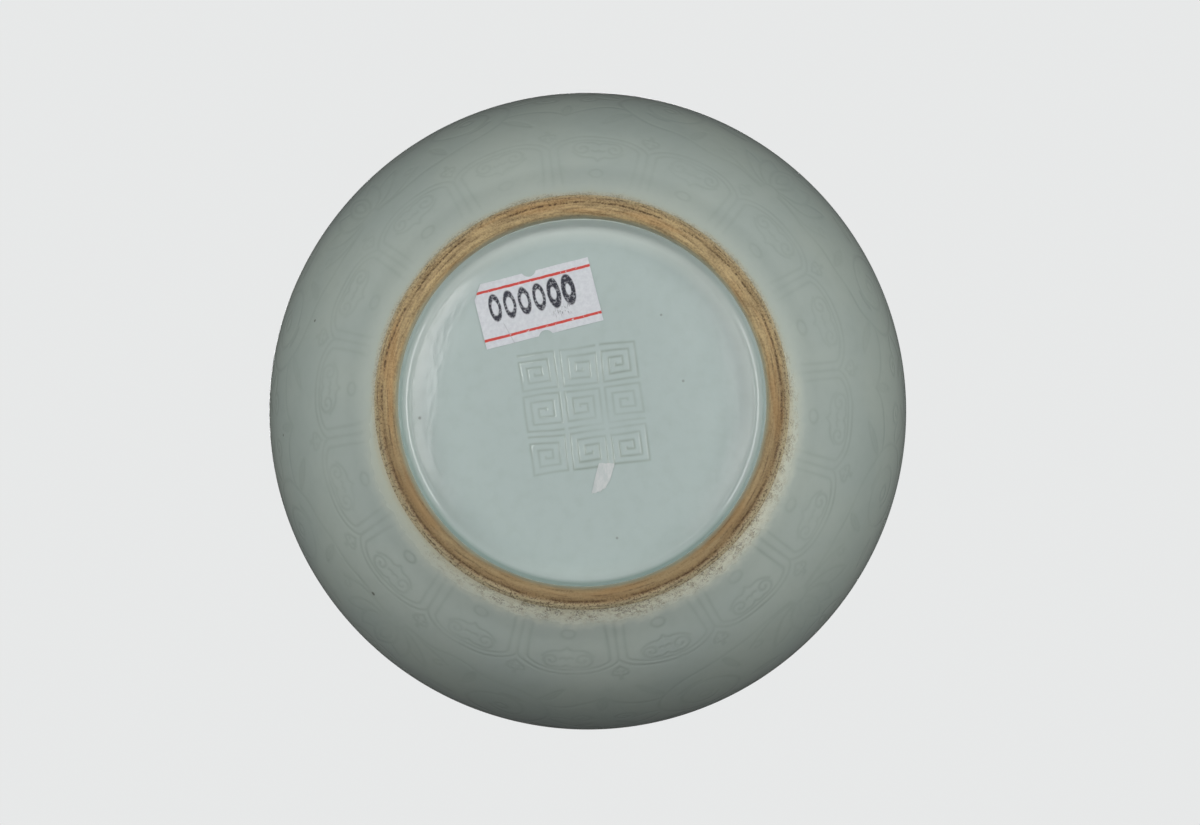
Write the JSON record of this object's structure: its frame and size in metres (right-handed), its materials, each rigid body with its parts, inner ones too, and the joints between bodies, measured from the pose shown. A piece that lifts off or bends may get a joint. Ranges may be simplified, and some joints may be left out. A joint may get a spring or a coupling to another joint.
{
  "type": "chinese brush washer",
  "caption": "Low round celadon bowl with an in-turned mouth, a carved lappet band, a bare clay foot ring and a paper label on its base, for rinsing brushes.",
  "frame": {"origin": "centre of the plane that the foot rests on", "axes": "+Z along the axis of the bowl, from the foot to the mouth; X and Y in the resting plane, with the label on the base at -X and -Y"},
  "size_m": [0.125, 0.125, 0.064],
  "materials": {
    "porcelain_clay": "fired unglazed porcelain, under the glaze",
    "bare_foot_clay": "bare clay burnt tan in the kiln, with turning lines, matt",
    "celadon_glaze": "pale blue-green celadon glaze, glossy",
    "label_paper": "white gummed paper, matt, with red rules"
  },
  "bodies": {
    "root": {"porcelain_body": "porcelain_clay", "foot_ring": "bare_foot_clay", "outer_glaze": "celadon_glaze", "inner_glaze": "celadon_glaze", "base_glaze": "celadon_glaze", "paper_label": "label_paper", "label_scrap": "label_paper"}
  },
  "joints": []
}
